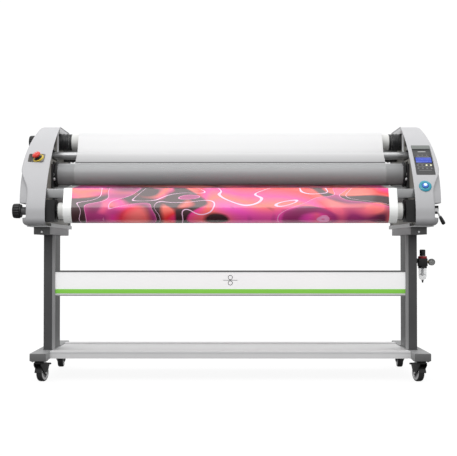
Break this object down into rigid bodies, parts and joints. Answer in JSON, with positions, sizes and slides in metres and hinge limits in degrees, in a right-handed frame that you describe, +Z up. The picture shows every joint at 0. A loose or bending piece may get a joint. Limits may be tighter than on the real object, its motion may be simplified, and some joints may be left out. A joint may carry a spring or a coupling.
{
  "type": "cold roll laminator",
  "caption": "Wide-format cold roll laminator on a castered stand, with two rollers, film and media shafts, end covers and controls.",
  "frame": {"origin": "centre of the floor area under the machine, at floor height", "axes": "+X along the rollers to the operator's right, +Y to the back, +Z up"},
  "size_m": [1.9547, 0.742, 1.195],
  "materials": {
    "painted_steel": "satin dark grey paint",
    "cover_shell": "light silver-grey satin moulded shell",
    "foot_metal": "light grey paint with a dark front",
    "aluminium": "brushed, satin",
    "plate_steel": "grey-beige satin",
    "steel": "turned",
    "chrome": "polished",
    "black_part": "black, semi-matt",
    "wheel_tread": "black tread",
    "silicone": "smooth grey silicone",
    "card_core": "white core tube",
    "film": "white film with a soft sheen",
    "media": "printed media with white borders",
    "panel": "dark membrane",
    "dial_teal": "teal",
    "dial_blue": "bright blue dome",
    "estop_yellow": "yellow and black",
    "estop_red": "red"
  },
  "bodies": {
    "frame": {"left_foot": "foot_metal", "right_foot": "foot_metal", "foot_caps": "painted_steel", "left_post": "painted_steel", "right_post": "painted_steel", "left_saddle": "painted_steel", "right_saddle": "painted_steel", "tie_beam": "painted_steel", "cross_panel": "aluminium", "lower_shelf": "aluminium", "base_trays": "aluminium", "front_bar": "aluminium", "rear_bar": "aluminium", "caster_plates": "black_part", "lower_bearings": "black_part", "shaft_supports": "black_part", "regulator_body": "black_part", "drive_motor": "black_part", "left_side_plate": "plate_steel", "right_side_plate": "plate_steel", "left_cover": "cover_shell", "right_cover": "cover_shell", "air_cylinders": "steel", "film_web": "film", "media_web": "media", "control_panel": "panel", "dial_ring": "dial_teal", "estop_base": "estop_yellow"},
    "top_carriage": {"bearing_blocks": "black_part", "piston_rods": "chrome"},
    "top_roller": {"top_roller": "silicone", "top_roller_shaft": "black_part"},
    "lower_roller": {"lower_roller": "silicone", "lower_roller_shaft": "steel", "roller_gear": "steel"},
    "motor_pinion": {"motor_pinion": "steel"},
    "idler": {"idler_tube": "aluminium"},
    "film_spool": {"film_shaft": "black_part", "film_core": "card_core", "film_roll": "film"},
    "liner_takeup": {"liner_shaft": "black_part"},
    "media_spool": {"media_shaft": "black_part", "media_core": "card_core", "media_roll": "media"},
    "film_knob": {"film_knob": "black_part"},
    "media_knob": {"media_knob": "black_part"},
    "dial_button": {"dial_button": "dial_blue"},
    "estop_cap": {"estop_cap": "estop_red"},
    "air_lever": {"air_lever": "black_part"},
    "regulator_knob": {"regulator_knob": "black_part"},
    "front_left_swivel": {"front_left_fork": "black_part"},
    "front_left_wheel": {"front_left_wheel": "wheel_tread"},
    "front_right_swivel": {"front_right_fork": "black_part"},
    "front_right_wheel": {"front_right_wheel": "wheel_tread"},
    "rear_left_swivel": {"rear_left_fork": "black_part"},
    "rear_left_wheel": {"rear_left_wheel": "wheel_tread"},
    "rear_right_swivel": {"rear_right_fork": "black_part"},
    "rear_right_wheel": {"rear_right_wheel": "wheel_tread"},
    "left_pedal": {"left_brake_pedal": "black_part"},
    "right_pedal": {"right_brake_pedal": "black_part"}
  },
  "joints": [
    {"name": "top_roller_lift", "type": "slide", "parent": "frame", "child": "top_carriage", "axis": [0, 0, 1], "range_m": [0, 0.025]},
    {"name": "top_roller_spin", "type": "hinge", "parent": "top_carriage", "child": "top_roller", "pos_m": [0, -0.072, 0.9569], "axis": [1, 0, 0], "continuous": true},
    {"name": "lower_roller_spin", "type": "hinge", "parent": "frame", "child": "lower_roller", "pos_m": [0, -0.072, 0.8511], "axis": [1, 0, 0], "continuous": true},
    {"name": "motor_spin", "type": "hinge", "parent": "frame", "child": "motor_pinion", "pos_m": [-0.86, -0.072, 0.7622], "axis": [1, 0, 0], "continuous": true},
    {"name": "idler_spin", "type": "hinge", "parent": "frame", "child": "idler", "pos_m": [0, -0.004, 1.052], "axis": [1, 0, 0], "continuous": true},
    {"name": "film_spin", "type": "hinge", "parent": "frame", "child": "film_spool", "pos_m": [0, 0.074, 1.124], "axis": [1, 0, 0], "continuous": true},
    {"name": "liner_spin", "type": "hinge", "parent": "frame", "child": "liner_takeup", "pos_m": [0, 0.234, 1.08], "axis": [1, 0, 0], "continuous": true},
    {"name": "media_spin", "type": "hinge", "parent": "frame", "child": "media_spool", "pos_m": [0, -0.305, 0.775], "axis": [1, 0, 0], "continuous": true},
    {"name": "film_knob_turn", "type": "hinge", "parent": "frame", "child": "film_knob", "pos_m": [-0.93, 0.074, 1.124], "axis": [1, 0, 0], "range_deg": [-180, 180]},
    {"name": "media_knob_turn", "type": "hinge", "parent": "frame", "child": "media_knob", "pos_m": [-0.93, -0.305, 0.775], "axis": [1, 0, 0], "range_deg": [-180, 180]},
    {"name": "dial_press", "type": "slide", "parent": "frame", "child": "dial_button", "axis": [0, 0.8601, -0.5101], "range_m": [0, 0.0025], "stiffness_N_per_m": 600, "springref_m": -0.0015},
    {"name": "estop_press", "type": "slide", "parent": "frame", "child": "estop_cap", "axis": [0.3726, 0.5656, -0.7357], "range_m": [0, 0.004], "stiffness_N_per_m": 800, "springref_m": -0.002},
    {"name": "air_lever_turn", "type": "hinge", "parent": "frame", "child": "air_lever", "pos_m": [0.929, -0.3225, 0.779], "axis": [0, 1, 0], "range_deg": [-80, 0]},
    {"name": "regulator_turn", "type": "hinge", "parent": "frame", "child": "regulator_knob", "pos_m": [0.908, -0.095, 0.585], "axis": [0, 0, 1], "range_deg": [-180, 180]},
    {"name": "front_left_swivel_turn", "type": "hinge", "parent": "frame", "child": "front_left_swivel", "pos_m": [-0.8655, -0.28, 0.09], "axis": [0, 0, 1], "continuous": true},
    {"name": "front_left_wheel_spin", "type": "hinge", "parent": "front_left_swivel", "child": "front_left_wheel", "pos_m": [-0.85685, -0.25337, 0.0375], "axis": [0.9511, -0.309, 0], "continuous": true},
    {"name": "left_pedal_press", "type": "hinge", "parent": "front_left_swivel", "child": "left_pedal", "pos_m": [-0.84943, -0.23054, 0.072], "axis": [0.9511, -0.309, 0], "range_deg": [-18, 0], "stiffness_Nm_per_rad": 0.4, "springref_deg": 5.73},
    {"name": "front_right_swivel_turn", "type": "hinge", "parent": "frame", "child": "front_right_swivel", "pos_m": [0.8655, -0.28, 0.09], "axis": [0, 0, 1], "continuous": true},
    {"name": "front_right_wheel_spin", "type": "hinge", "parent": "front_right_swivel", "child": "front_right_wheel", "pos_m": [0.85685, -0.25337, 0.0375], "axis": [0.9511, 0.309, 0], "continuous": true},
    {"name": "right_pedal_press", "type": "hinge", "parent": "front_right_swivel", "child": "right_pedal", "pos_m": [0.84943, -0.23054, 0.072], "axis": [0.9511, 0.309, 0], "range_deg": [-18, 0], "stiffness_Nm_per_rad": 0.4, "springref_deg": 5.73},
    {"name": "rear_left_swivel_turn", "type": "hinge", "parent": "frame", "child": "rear_left_swivel", "pos_m": [-0.8655, 0.288, 0.09], "axis": [0, 0, 1], "continuous": true},
    {"name": "rear_left_wheel_spin", "type": "hinge", "parent": "rear_left_swivel", "child": "rear_left_wheel", "pos_m": [-0.8655, 0.316, 0.0375], "axis": [1, 0, 0], "continuous": true},
    {"name": "rear_right_swivel_turn", "type": "hinge", "parent": "frame", "child": "rear_right_swivel", "pos_m": [0.8655, 0.288, 0.09], "axis": [0, 0, 1], "continuous": true},
    {"name": "rear_right_wheel_spin", "type": "hinge", "parent": "rear_right_swivel", "child": "rear_right_wheel", "pos_m": [0.8655, 0.316, 0.0375], "axis": [1, 0, 0], "continuous": true}
  ],
  "couplings": [
    {"joint": "top_roller_spin", "follows": "lower_roller_spin", "ratio": -1},
    {"joint": "motor_spin", "follows": "lower_roller_spin", "ratio": -2.4706}
  ]
}
